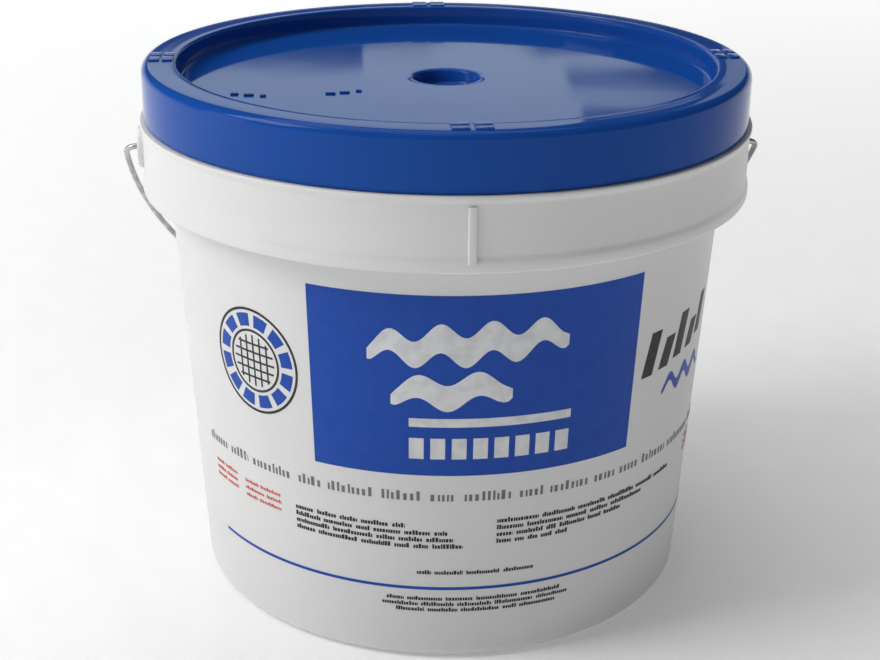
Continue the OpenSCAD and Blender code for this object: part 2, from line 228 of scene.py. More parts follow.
def in_metres(points):
    """Pairs in millimetres, as metres."""
    return [(a * MM, b * MM) for a, b in points]


def arc(cx, cy, r, start, end, steps=6):
    """Points of an arc in degrees, ends included."""
    turns = [math.radians(start + (end - start) * i / steps) for i in range(steps + 1)]
    return [(cx + r * math.cos(t), cy + r * math.sin(t)) for t in turns]


def upright_ring(centre, radius, count):
    """Points of a circle in the XZ plane."""
    turns = [TAU * s / count for s in range(count)]
    return [centre + radius * Vector((math.cos(t), 0, math.sin(t))) for t in turns]


def rounded(points, radii, steps=4):
    """A closed outline with each corner replaced by an arc-like curve of about its radius."""
    out = []
    count = len(points)
    for i, (corner, radius) in enumerate(zip(points, radii)):
        here = Vector(corner)
        before = Vector(points[i - 1]) - here
        after = Vector(points[(i + 1) % count]) - here
        reach = min(radius, 0.45 * before.length, 0.45 * after.length)
        a = here + before.normalized() * reach
        b = here + after.normalized() * reach
        for k in range(steps + 1):
            t = k / steps
            out.append(tuple(a * (1 - t) ** 2 + here * 2 * t * (1 - t) + b * t * t))
    return out


def lathe(profile, segments=240, closed=True, place=None, wobble=None):
    """Verts and faces of a profile of (radius, height) turned about Z. Radius 0 closes on the axis."""
    verts, faces, rings = [], [], []
    for r, z in profile:
        if r < 1e-7:
            rings.append([len(verts)])
            verts.append(Vector((0, 0, z)))
            continue
        rings.append(list(range(len(verts), len(verts) + segments)))
        for s in range(segments):
            a = TAU * s / segments
            verts.append(Vector((r * math.cos(a), r * math.sin(a), z)))
    pairs = list(zip(rings, rings[1:] + rings[:1])) if closed else list(zip(rings, rings[1:]))
    for low, high in pairs:
        if len(low) == 1 and len(high) == 1:
            continue
        for s in range(segments):
            t = (s + 1) % segments
            if len(low) == 1:
                faces.append((low[0], high[t], high[s]))
            elif len(high) == 1:
                faces.append((low[s], low[t], high[0]))
            else:
                faces.append((low[s], low[t], high[t], high[s]))
    if wobble:
        verts = [wobble(v) for v in verts]
    if place:
        verts = [place @ v for v in verts]
    return verts, faces


def block(size, place, edge=0.0):
    """Verts and faces of a box with softened edges, centred, then placed by a matrix."""
    work = bmesh.new()
    bmesh.ops.create_cube(work, size=1)
    bmesh.ops.scale(work, vec=size, verts=work.verts)
    if edge:
        bmesh.ops.bevel(work, geom=list(work.edges), offset=edge, segments=3, profile=0.5, affect="EDGES")
    verts = [place @ v.co for v in work.verts]
    faces = [tuple(v.index for v in face.verts) for face in work.faces]
    work.free()
    return verts, faces


def sweep(points, radius, sides=12, shape=None, closed=False):
    """Verts and faces of a tube along points. shape(i, angle) scales the radius."""
    count = len(points)
    verts, faces = [], []
    side = None
    for i, point in enumerate(points):
        ahead = points[(i + 1) % count] if closed else points[min(i + 1, count - 1)]
        behind = points[i - 1] if closed or i else points[0]
        along = (Vector(ahead) - Vector(behind)).normalized()
        if side is None:
            side = along.orthogonal().normalized()
        side = (side - along * side.dot(along)).normalized()
        other = along.cross(side)
        for s in range(sides):
            a = TAU * s / sides
            r = radius * (shape(i, a) if shape else 1)
            verts.append(Vector(point) + side * (r * math.cos(a)) + other * (r * math.sin(a)))
    for i in range(count if closed else count - 1):
        j = (i + 1) % count
        for s in range(sides):
            t = (s + 1) % sides
            faces.append((i * sides + s, i * sides + t, j * sides + t, j * sides + s))
    if not closed:
        faces.append(tuple(range(sides)))
        faces.append(tuple(range((count - 1) * sides, count * sides)))
    return verts, faces


# ---------------------------------------------------------------- pail

def wall_r(z):
    """Radius of the pail's outer wall at height z."""
    return BASE_R + DRAFT * z


def pail_profile():
    """The pail's section: foot ring, wall, hanging collar, neck with its bead, and floor."""
    wall = 2.2
    floor = 5.4
    foot = BASE_R / MM
    collar = COLLAR_R / MM
    low = COLLAR_LOW / MM
    high = COLLAR_TOP / MM
    flange = high - 2.1
    skirt = collar - 2.5
    neck_top = LID_TOP / MM - 2.5

    def outer(z):
        return wall_r(z * MM) / MM

    points = [(0, 3), (foot - 15, 3), (foot - 13.4, 0.6), (foot - 12, 0)]
    points += arc(foot - 5.6, 6, 6, -90, 0, 8)
    points += [(outer(z), z) for z in range(12, 245, 8)]
    points += [(outer(flange) + 1, flange - 0.5), (outer(flange) + 2.5, flange)]
    points += [(skirt - 1.5, flange), (skirt, flange - 1.5), (skirt - 0.2, low + 6)]
    points += [(skirt, low + 0.5), (skirt + 0.5, low), (collar - 0.9, low)]
    points += [(collar - 0.3, low + 0.3), (collar, low + 1), (collar, low + 4.6)]
    points += [(collar - 0.25, low + 5.8), (collar - 0.8, low + 7), (collar - 1, low + 8.6)]
    points += [(collar - 1, high - 4.6), (collar - 0.9, high - 3.4), (collar - 0.3, high - 2.2)]
    points += [(collar, high - 1.4)]
    points += arc(collar - 0.7, high - 0.7, 0.7, 0, 90, 5)
    points += [(outer(high) + 1.2, high), (outer(high) + 0.3, high + 0.4), (outer(high), high + 1.4)]
    points += [(outer(neck_top), neck_top - 11), (148.6, neck_top - 8.3), (149.5, neck_top - 7.2)]
    points += arc(147.5, neck_top - 2, 2, 0, 90, 6)
    points += arc(outer(neck_top) - wall + 1, neck_top - 1, 1, 90, 180, 4)
    points += [(outer(z) - wall, z) for z in range(266, 12, -8)]
    points += arc(outer(floor) - wall - 5, floor + 5, 5, 0, -90, 6)
    points += [(0, floor)]
    return in_metres(points)


def pail_wobble(v):
    """The moulding isn't perfectly round: a fraction of a millimetre, slowly round the wall."""
    radial = Vector((v.x, v.y, 0))
    if radial.length < 1 * MM:
        return v
    swell = noise.noise(Vector((v.x * 7, v.y * 7, v.z * 5 + 3))) * 0.12 * MM
    return v + radial.normalized() * swell


def turned_to(angle_deg, radius, z):
    """Matrix that puts a thing made at the origin, facing -Y, on the wall at that angle."""
    return Matrix.Rotation(math.radians(angle_deg), 4, "Z") @ Matrix.Translation((0, -radius, z))


def build_pail(white):
    """The pail with its gussets, collar ribs and ears, as one piece."""
    shape = Shape()
    shape.add(*lathe(pail_profile(), 288, wobble=pail_wobble))
    inner = wall_r(COLLAR_LOW)
    outer = COLLAR_R - 2.5 * MM
    gusset_low = COLLAR_LOW + 9 * MM
    tall = COLLAR_TOP - 1 * MM - gusset_low
    for i in range(18):
        place = turned_to(20 * i + 100, (outer + inner) / 2, gusset_low + tall / 2)
        shape.add(*block((1.6 * MM, outer - inner + 1 * MM, tall), place, 0.3 * MM))
    for angle in (0, 180):
        place = turned_to(angle, COLLAR_R - 0.6 * MM, (COLLAR_LOW + COLLAR_TOP) / 2 - 0.2 * MM)
        shape.add(*block((4 * MM, 2.4 * MM, COLLAR_TOP - COLLAR_LOW - 9 * MM), place, 0.7 * MM))
    bore = WIRE_R + 0.1 * MM
    near, far = 153.3 * MM, 159 * MM
    ear = rounded([(bore, near), (EAR_R, near), (EAR_R, far), (bore, far)],
                  [0.2 * MM, 0.2 * MM, 1.2 * MM, 0.5 * MM])
    for side in (1, -1):
        place = Matrix.Translation((0, 0, PIVOT_Z)) @ Matrix.Rotation(side * math.pi / 2, 4, "Y")
        shape.add(*lathe(ear, 48, place=place))
    piece = shape.piece("pail_moulding", white, sharp_deg=50)
    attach(piece, "pail")
    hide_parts("pail_body")


# ---------------------------------------------------------------- lid

PANEL_R = 137.5 * MM
PANEL_DROP = 10.8 * MM
CUP_R = 16.5 * MM


def lid_profile():
    """The lid's section: cup, panel, rim, skirt and seal ring."""
    top = LID_TOP / MM
    panel = top - PANEL_DROP / MM
    cup = panel - 7.5
    cup_r = CUP_R / MM
    panel_r = PANEL_R / MM
    lid_r = 155
    wall = 2.2
    low = COLLAR_TOP / MM + 0.3
    points = [(0, cup), (cup_r - 2, cup), (cup_r - 0.7, cup + 0.5), (cup_r, cup + 2)]
    points += [(cup_r + 0.4, panel - 1.2), (cup_r + 1, panel - 0.3), (cup_r + 2, panel)]
    points += [(r, panel) for r in range(22, 134, 6)]
    points += arc(panel_r - 2.4, panel + 1.8, 1.8, -90, 0, 6)
    points += [(panel_r - 0.4, top - 3)]
    points += arc(panel_r + 1.4, top - 1.5, 1.5, 180, 90, 6)
    points += [(panel_r + 5, top - 0.05), (146, top)]
    points += arc(lid_r - 4, top - 4, 4, 90, 0, 10)
    points += [(lid_r, top - 12), (lid_r, top - 20), (lid_r, low + 2), (lid_r - 0.1, low + 0.5)]
    points += [(lid_r - 0.6, low), (lid_r - wall + 0.5, low), (lid_r - wall, low + 0.6)]
    points += [(lid_r - wall, top - wall - 1.2), (lid_r - wall - 1.2, top - wall)]
    points += [(143.9, top - wall), (143.9, top - 10), (143.2, top - 11.2)]
    points += [(142.4, top - 11.2), (142.1, top - wall), (panel_r + wall, top - wall)]
    points += [(panel_r + 1.4, panel - wall + 1.2), (panel_r + 0.2, panel - wall)]
    points += [(r, panel - wall) for r in range(130, 20, -6)]
    points += [(cup_r + wall, cup - wall + 1.2), (cup_r + wall - 1.4, cup - wall), (0, cup - wall)]
    return in_metres(points)


def lid_wobble(v):
    """The sunken panel warps a little, so that it mirrors an uneven picture of the cards."""
    r = math.hypot(v.x, v.y)
    inside = clamped((PANEL_R - 4 * MM - r) / (30 * MM)) * clamped((r - 18 * MM) / (15 * MM))
    broad = 0.07 * noise.noise(Vector((v.x * 13 + 4, v.y * 12, 0)))
    fine = 0.02 * noise.noise(Vector((v.x * 40, v.y * 26, 7)))
    return v + Vector((0, 0, inside * (broad + fine) * MM))


def build_lid(blue):
    """The lid with its four groups of pads, its inner lugs and the moulded marks on the panel."""
    shape = Shape()
    shape.add(*lathe(lid_profile(), 288, wobble=lid_wobble))
    for group in range(4):
        middle = turned_to(90 * group, 144.9 * MM, LID_TOP)
        for x in (-5.2, 5.2):
            for y in (-3.3, 3.3):
                place = middle @ Matrix.Translation((x * MM, y * MM, 0))
                shape.add(*block((8.2 * MM, 5.2 * MM, 1.4 * MM), place, 0.35 * MM))
    lug = in_metres([(153.5, 264), (149.9, 263.4), (149.9, 261.6), (153.5, 257)])
    for i in range(12):
        add_sector(shape, lug, 30 * i + 10, 30 * i + 20)
    marks = ((-107, -37, 4), (-100, -39, 5), (-93, -41, 3), (-60, -37, 5), (-53, -35, 5), (-46, -32, 3))
    for x, y, long in marks:
        place = Matrix.Translation((x * MM, y * MM, LID_TOP - PANEL_DROP + 0.2 * MM))
        shape.add(*block((long * MM, 2.2 * MM, 1.4 * MM), place, 0.3 * MM))
    piece = shape.piece("lid_moulding", blue, sharp_deg=50)
    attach(piece, "lid")
    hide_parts("lid")


def add_sector(shape, profile, start, end, steps=4):
    """Adds a closed profile turned through part of a circle, with its ends capped."""
    verts, faces = [], []
    count = len(profile)
    for i in range(steps + 1):
        a = math.radians(start + (end - start) * i / steps)
        verts += [(r * math.cos(a), r * math.sin(a), z) for r, z in profile]
    for i in range(steps):
        for k in range(count):
            m = (k + 1) % count
            faces.append((i * count + k, i * count + m, (i + 1) * count + m, (i + 1) * count + k))
    faces.append(tuple(range(count)))
    faces.append(tuple(range(steps * count, (steps + 1) * count)))
    shape.add(verts, faces)


# ---------------------------------------------------------------- bail

def bail_place():
    """Matrix from the bail's own plane (X across, Y away from the pivot) to where it hangs."""
    return Matrix.Translation((0, 0, PIVOT_Z)) @ Matrix.Rotation(-BAIL_HANG, 4, "X")


def half_bail_points():
    """Centre line of half the bail: hook, pin, elbow, wide arc, tight arc and straight middle."""
    elbow, straight, tight = 6 * MM, 48 * MM, 90.5 * MM
    across, up = BAIL_HALF_W - straight, BAIL_REACH - elbow
    wide = (across ** 2 + (up - tight) ** 2 - tight ** 2) / (2 * (across - tight))
    turn = math.degrees(math.asin((up - tight) / (wide - tight)))
    hook_x, hook_r = 152 * MM, 4 * MM
    points = [(hook_x - hook_r, -hook_r - 5 * MM)] + arc(hook_x, -hook_r, hook_r, 180, 90, 8)
    points += arc(BAIL_HALF_W - elbow, elbow, elbow, -90, 0, 10)
    points += arc(BAIL_HALF_W - wide, elbow, wide, 0, turn, 24)[1:]
    points += arc(straight, BAIL_REACH - tight, tight, turn, 90, 24)[1:]
    return points


def build_bail(zinc, grip_white):
    place = bail_place()
    half = half_bail_points()
    line = half + [(-x, y) for x, y in reversed(half)]
    shape = Shape()
    shape.add(*sweep([place @ Vector((x, y, 0)) for x, y in line], WIRE_R, 16))
    wire = shape.piece("bail_wire_drawn", zinc, sharp_deg=60)
    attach(wire, "bail")
    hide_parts("bail_wire")
    build_grip(place, grip_white)


def grip_profile():
    """Section of the rolling grip: end collars, finger grooves and the bore."""
    half = GRIP_L / 2
    bore = WIRE_R + 0.08 * MM
    left = [(bore, -half + 0.6 * MM), (bore + 0.6 * MM, -half), (GRIP_R - 1.6 * MM, -half)]
    left += arc(GRIP_R - 1 * MM, -half + 1.5 * MM, 1 * MM, -70, 90, 6)
    body = []
    for i in range(81):
        along = -half + 5 * MM + (GRIP_L - 10 * MM) * i / 80
        swell = 1.3 * math.sin(math.pi * i / 80)
        groove = 0.28 * math.cos(TAU * i / 10) if 8 < i < 72 else 0.0
        body.append((GRIP_R - 2.0 * MM + (swell + groove) * MM, along))
    right = [(r, -z) for r, z in reversed(left)]
    return left + body + right


def build_grip(place, grip_white):
    turned = place @ Matrix.Translation((0, BAIL_REACH, 0)) @ Matrix.Rotation(math.pi / 2, 4, "Y")
    shape = Shape()
    shape.add(*lathe(grip_profile(), 64, place=turned))
    grip = shape.piece("grip_moulding", grip_white, sharp_deg=55)
    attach(grip, "grip")
    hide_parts("bail_grip")


# ---------------------------------------------------------------- printing

def wall_point(angle_deg, z_mm, lift):
    """A point over the wall at an angle from -Y, towards +X, and a height."""
    a = math.radians(angle_deg)
    v = pail_wobble(Vector((wall_r(z_mm * MM) * math.sin(a), -wall_r(z_mm * MM) * math.cos(a), z_mm * MM)))
    return v + Vector((math.sin(a), -math.cos(a), -DRAFT)).normalized() * lift


def add_patch(shape, outline, slot=0, lift=PRINT_LIFT):
    """Adds a thin closed slab of ink: outline(u, v) gives angle and height for u, v from 0 to 1.

    The patch has a grid of cells wide enough to follow the wall.
    """
    corners = [outline(u, v) for u, v in ((0, 0), (1, 0), (1, 1), (0, 1))]
    across = max(abs(corners[1][0] - corners[0][0]), abs(corners[2][0] - corners[3][0]))
    cols = max(1, int(math.ceil(across / 1.5)))
    rows = max(1, int(math.ceil(abs(corners[3][1] - corners[0][1]) / 8)))
    verts, faces = [], []
    for level in (lift, -0.1 * MM):
        for j in range(rows + 1):
            verts += [wall_point(*outline(i / cols, j / rows), level) for i in range(cols + 1)]
    wide = cols + 1
    back = wide * (rows + 1)
    for j in range(rows):
        for i in range(cols):
            a = j * wide + i
            faces.append((a, a + 1, a + wide + 1, a + wide))
            faces.append((back + a, back + a + wide, back + a + wide + 1, back + a + 1))
    rim = list(range(cols + 1)) + [j * wide + cols for j in range(1, rows + 1)]
    rim += [rows * wide + i for i in range(cols - 1, -1, -1)] + [j * wide for j in range(rows - 1, 0, -1)]
    for a, b in zip(rim, rim[1:] + rim[:1]):
        faces.append((a, a + back, b + back, b))
    shape.add(verts, faces, slot)


def bar(shape, a0, a1, z0, z1, slant=0.0, slot=0, lift=PRINT_LIFT):
    """Adds a bar between two angles and two heights. slant leans it, in degrees at its top."""
    add_patch(shape, lambda u, v: (a0 + (a1 - a0) * u + slant * v, z0 + (z1 - z0) * v), slot, lift)


def dashes(shape, a0, a1, z, tall, words, rng, slot=0, fill=0.62):
    """Adds a row of groups of plain ticks, in place of a line of print."""
    gap = 0.34 * tall
    shares = [rng.uniform(0.5, 1.6) for _ in range(words)]
    room = (a1 - a0 - gap * (words - 1)) / sum(shares)
    at = a0
    for share in shares:
        end = at + share * room
        while at < end - 0.1:
            wide = tall * rng.uniform(0.16, 0.3)
            high = tall * rng.choice((0.7, 0.7, 0.72, 1.0))
            bar(shape, at, min(at + wide * fill, end), z, z + high, slot=slot)
            at += wide
        at = end + gap


def wave_band(shape, a0, a1, z, height, crests, thick, climb=0.0, slot=0, lift=PRINT_LIFT):
    """Adds a thick wave line along the wall, that climbs by some millimetres from end to end."""
    def edge(t):
        taper = 0.35 + 0.65 * math.sin(math.pi * t) ** 0.5
        middle = z + climb * t + height / 2 * math.sin(TAU * crests * t - 1.2)
        return Vector((a0 + (a1 - a0) * t, middle - thick / 2 * taper, middle + thick / 2 * taper))

    steps = crests * 16
    for i in range(steps):
        def cell(u, v, start=edge(i / steps), end=edge((i + 1) / steps)):
            angle, low, high = start.lerp(end, u)
            return angle, low + (high - low) * v
        add_patch(shape, cell, slot, lift)


def badge_ring(shape, angle, z, outer, inner, start, end, slot):
    """Adds part of a ring round a point of the wall, sizes in millimetres."""
    steps = max(2, int(abs(end - start) / 7))
    per_mm = math.degrees(1 / (wall_r(z * MM) / MM))
    for i in range(steps):
        def cell(u, v, first=i):
            t = math.radians(start + (end - start) * (first + u) / steps)
            r = inner + (outer - inner) * v
            return angle + r * math.cos(t) * per_mm, z + r * math.sin(t)
        add_patch(shape, cell, slot)


def finish_print(shape, name, inks):
    piece = shape.piece(name, inks, sharp_deg=40)
    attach(piece, "pail")


def build_print(inks):
    """All the printing: plain bars, dashes, rings and waves in place of names and text."""
    blue, white, black, grey, red = inks
    rng = random.Random(7)
    top_lift = 2 * PRINT_LIFT

    panel = Shape()
    bar(panel, -31.0, 37.0, 105, 198)
    finish_print(panel, "print_panel", [blue])

    waves = Shape()
    wave_band(waves, -19.0, 20.0, 171, 8, 4, 15, climb=5, lift=top_lift)
    wave_band(waves, -14.5, 9.0, 148, 7, 2, 13.5, climb=3, lift=top_lift)
    bar(waves, -11.0, 21.5, 131, 135.5, lift=top_lift)
    for i in range(8):
        at = -11.0 + i * 4.2
        bar(waves, at, at + 2.9, 114, 125, lift=top_lift)
    finish_print(waves, "print_waves", [white])

    badge = Shape()
    at, z = -45.2, 150
    per_mm = math.degrees(1 / (wall_r(z * MM) / MM))
    badge_ring(badge, at, z, 27.5, 26.2, 0, 360, 0)
    badge_ring(badge, at, z, 16.4, 15.2, 0, 360, 0)
    for i in range(12):
        badge_ring(badge, at, z, 24.6, 18, 30 * i + 4, 30 * i + 25, 1)
    for k in range(-2, 3):
        off = 4.4 * k
        half = math.sqrt(13.5 ** 2 - off ** 2)
        bar(badge, at - half * per_mm, at + half * per_mm, z + off - 0.5, z + off + 0.5)
        bar(badge, at + (off - 0.5) * per_mm, at + (off + 0.5) * per_mm, z - half, z + half)
    finish_print(badge, "print_badge", [black, blue])

    mark = Shape()
    for i, (low, high) in enumerate(((140, 163), (141, 157), (143, 166), (144, 158), (147, 168))):
        bar(mark, 39.5 + 5.6 * i, 42.9 + 5.6 * i, low, high, slant=2.2)
    wave_band(mark, 47.5, 68.5, 130, 7, 3, 6, slot=1)
    finish_print(mark, "print_mark", [black, blue])

    lines = Shape()
    dashes(lines, -65.5, 74, 91.0, 5.0, 15, rng, slot=1, fill=0.5)
    for row, (z, end) in enumerate(((75.5, -12), (71.8, -3), (68.1, -2), (64.4, 0))):
        dashes(lines, -36.5, end, z, 2.5, 5 + row % 2, rng, fill=0.74)
    for row, (z, end) in enumerate(((78, 55), (74.2, 44), (70.4, 37), (66.6, 23))):
        dashes(lines, 7, end, z, 2.5, 6 - row % 2, rng, fill=0.74)
    dashes(lines, -9.5, 15.5, 49.6, 2.2, 4, rng, fill=0.74)
    for z, start, end in ((34.4, -16, 22), (31.2, -17, 24), (28.0, -14, 21)):
        dashes(lines, start, end, z, 2.2, 5, rng, fill=0.74)
    finish_print(lines, "print_lines", [black, grey])

    reds = Shape()
    for z in (79.5, 75.5, 71.5):
        dashes(reds, -63.5, -54.5, z, 2.0, 2, rng)
        dashes(reds, -51.5, -40.5, z - 1, 2.0, 2, rng)
    for z in (84, 80, 76):
        dashes(reds, 66, 72, z, 2.0, 2, rng)
    finish_print(reds, "print_red", [red])

    stripe = Shape()
    for i in range(10):
        bar(stripe, -61.5 + 14 * i, -47.5 + 14 * i, 40.6, 42.2)
    finish_print(stripe, "print_stripe", [blue])


# ---------------------------------------------------------------- net

DECK = 172 * MM
HORN = Vector((-38 * MM, 12 * MM, DECK))
SWIVEL = Vector((-6 * MM, 82 * MM, 183 * MM))


def smooth_line(points, per_span=8):
    """A smooth curve through points in millimetres, as vectors in metres."""
    line = []
    ends = [points[0]] + list(points) + [points[-1]]
    for i in range(1, len(ends) - 2):
        a, b, c, d = (Vector(p) * MM for p in ends[i - 1:i + 3])
        for k in range(per_span):
            t = k / per_span
            line.append(0.5 * (2 * b + (c - a) * t + (2 * a - 5 * b + 4 * c - d) * t ** 2
                               + (3 * b - a - 3 * c + d) * t ** 3))
    return line + [Vector(ends[-1]) * MM]


def wound(centre, radii, heights, start_deg, turns, sense=1, steps=72):
    """Points of a winding: turn k has its own radius and height, and changes over its last part."""
    change = 0.16
    points = []
    for s in range(int(round(turns * steps)) + 1):
        k, t = divmod(s / steps, 1)
        k = min(int(k), len(radii) - 1)
        after = min(k + 1, len(radii) - 1)
        mix = max(0.0, (t - 1 + change) / change)
        mix = mix * mix * (3 - 2 * mix)
        r = radii[k] + (radii[after] - radii[k]) * mix
        z = heights[k] + (heights[after] - heights[k]) * mix
        a = math.radians(start_deg) + sense * TAU * s / steps
        points.append(Vector((centre[0] + r * math.cos(a), centre[1] + r * math.sin(a), z)) * MM)
    return points


def line_length(points):
    return sum((b - a).length for a, b in zip(points, points[1:]))


def braid(strands, lay, depth):
    """Radius of a braided rope: diamonds from two sets of strands that cross."""
    def radius(i, a):
        crossing = abs(math.sin(strands * a + lay * i) * math.cos(strands * a - lay * i)) ** 0.5
        return 1 - depth + depth * crossing
    return radius


def pleats(turn):
    """The webbing's 19 pleats round the horn: 1 on a ridge, 0 in a fold."""
    return abs(math.sin(19 * turn)) ** 0.7


def mound_height(r):
    """Height of the smooth mound: a round top, the lead line's channel and a raised rim."""
    profile = [(0, 171.4), (71, 171.4), (75, 169), (78.4, 163), (79.2, 126.2), (125.6, 126.2), (126.6, 146),
               (129, 148.6), (132, 149.6), (135, 147.5), (139, 141.5), (141, 138)]
    for (ra, za), (rb, zb) in zip(profile, profile[1:]):
        if ra <= r <= rb:
            return za + (zb - za) * (r - ra) / (rb - ra)
    return profile[-1][1]


def heap_height(x, y):
    """Top of the folded webbing: the mound with pleats that gather towards the horn."""
    from_horn = Vector((x - HORN.x, y - HORN.y, 0))
    turn = math.atan2(from_horn.y, from_horn.x)
    away = from_horn.length
    swirl = 2.2 * noise.noise(Vector((x * 22, y * 22, 1))) + 0.9 * math.sin(3 * turn + away * 30)
    depth = 0.6 + min(1.9, away / (26 * MM))
    rumple = (0.5 + 0.5 * noise.noise(Vector((x * 55, y * 55, 4)))) * 1.5
    return (mound_height(math.hypot(x, y) / MM) - depth * (1 - pleats(turn + swirl / 19)) - rumple) * MM


def build_heap(webbing):
    """The folded webbing and its neck, a padded bundle that fills the lower pail."""
    segments = 360
    low = [(0, 6.1), (60, 6.1), (118, 6.1), (wall_r(13 * MM) / MM - 4.5, 15)]
    low += [(wall_r(80 * MM) / MM - 4.2, 80), (138, 134)]
    rims = [138.6, 136.5, 134, 131.5, 129, 127.2, 126.2, 125.8, 120, 113, 106, 99, 92, 85, 80.5, 79.2, 78.9,
            78.6, 77.4, 75]
    rims += [72 - 3 * i for i in range(24)]
    verts, faces = lathe(in_metres(low), segments, closed=False)
    ring_start = [1 + segments * i for i in range(len(low) - 1 + len(rims))]
    for r in rims:
        for s in range(segments):
            a = TAU * s / segments
            x, y = r * MM * math.cos(a), r * MM * math.sin(a)
            verts.append(Vector((x, y, heap_height(x, y))))
    first_new = len(low) - 2
    for low_ring, high_ring in zip(ring_start[first_new:], ring_start[first_new + 1:]):
        for s in range(segments):
            t = (s + 1) % segments
            faces.append((low_ring + s, low_ring + t, high_ring + t, high_ring + s))
    faces.append(tuple(ring_start[-1] + s for s in range(segments)))
    shape = Shape()
    shape.add(verts, faces)
    shape.add(*neck_skin())
    heap = shape.piece("net_bundle", webbing)
    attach(heap, "pail")
    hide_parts("net_webbing", "net_neck")


def neck_skin():
    """The webbing's neck, gathered in fine pleats round the horn's barrel."""
    profile = [(20.4, 4.8), (29.2, 4.4), (29.4, 0.6), (33.4, 0.2), (32.2, 3.6), (28, 6.6), (24.2, 8.6),
               (22.6, 10.6), (22.4, 13), (22.2, 18), (22.4, 23.4), (20.5, 24)]

    def pleated(v):
        outside = clamped((math.hypot(v.x, v.y) - 20.6 * MM) / (1.5 * MM))
        squeeze = 1 - 0.045 * (1 - pleats(math.atan2(v.y, v.x))) * outside
        return Vector((v.x * squeeze, v.y * squeeze, v.z))
    return lathe(in_metres(profile), 228, wobble=pleated, place=Matrix.Translation(HORN))


def build_meshes(mono):
    """The outermost layer of netting: knotted diamonds of monofilament drawn in to the horn."""
    rays, rows = 84, 30

    def knot(i, j):
        turn = TAU * (i + 0.5 * (j % 2)) / rays
        reach = (32 + (j / rows) ** 0.85 * 84) * MM
        turn += 0.03 * noise.noise(Vector((math.cos(turn) * 3, math.sin(turn) * 3, j * 0.4)))
        x, y = HORN.x + reach * math.cos(turn), HORN.y + reach * math.sin(turn)
        return Vector((x, y, heap_height(x, y) + 0.35 * MM))

    def raised(point, height):
        return point + Vector((0, 0, height * MM))

    shape = Shape()
    for j in range(rows):
        for i in range(rays):
            here = knot(i, j)
            if math.hypot(here.x, here.y) > 76 * MM:
                continue
            shape.add(*sweep([raised(here, -0.4), raised(here, 0.45)], 0.65 * MM, 5))
            for other in ((i, j + 1), (i + (1 if j % 2 else -1), j + 1)):
                there = knot(*other)
                if math.hypot(there.x, there.y) < 77 * MM:
                    middle = raised((here + there) / 2, 0.25)
                    shape.add(*sweep([here, middle, there], 0.22 * MM, 4))
    piece = shape.piece("net_meshes", mono)
    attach(piece, "pail")


def build_lead_line(rope, lead):
    """The lead line, coiled in the channel: one braided rope and the weights threaded on it."""
    rings = [86, 97, 108, 119]
    radii = rings + rings[::-1] + rings + rings[2::-1]
    heights = [132] * 4 + [143] * 4 + [154] * 4 + [165] * 3
    points = wound((0, 0), radii, heights, 20, 15, steps=120)
    line = Shape()
    line.add(*sweep(points, 2.5 * MM, 10, braid(4, 1.3, 0.12)))
    piece = line.piece("lead_line_braid", rope)
    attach(piece, "pail")
    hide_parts("lead_line")

    half = [(2.55, -11.2), (3.25, -12), (3.7, -12), (4.65, -11.4), (5, -10)]
    section = in_metres(half + [(4.92, 0)] + [(r, -z) for r, z in reversed(half)])
    beads = Shape()
    pitch = line_length(points) / 230
    travelled, due = 0.0, pitch / 2
    for a, b in zip(points, points[1:]):
        step = (b - a).length
        if travelled + step >= due:
            at = a + (b - a) * ((due - travelled) / step)
            turn = (b - a).to_track_quat("Z", "X").to_matrix().to_4x4()
            beads.add(*lathe(section, 14, place=Matrix.Translation(at) @ turn))
            due += pitch
        travelled += step
    piece = beads.piece("lead_beads", lead, sharp_deg=60)
    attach(piece, "pail")
    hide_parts("lead_weights")


def build_lashing(twine):
    """Twine wound round the neck, with its two tucked ends."""
    shape = Shape()
    turns, steps, r = 5, 60, 23.5
    points = []
    for s in range(turns * steps + 1):
        a = TAU * s / steps
        points.append(HORN + Vector((r * math.cos(a), r * math.sin(a), 13 + 1.92 * s / steps)) * MM)
    shape.add(*sweep(points, 1 * MM, 8, lambda i, a: 0.9 + 0.1 * abs(math.sin(a + i * 0.8))))
    for end, drop in ((points[0], -3), (points[-1], -7)):
        tail = [end, end + Vector((1.2, 1, drop / 2)) * MM, end + Vector((1.6, 3, drop)) * MM]
        shape.add(*sweep(tail, 0.9 * MM, 7))
    piece = shape.piece("lashing_twine", twine)
    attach(piece, "pail")
    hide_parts("horn_lashing")


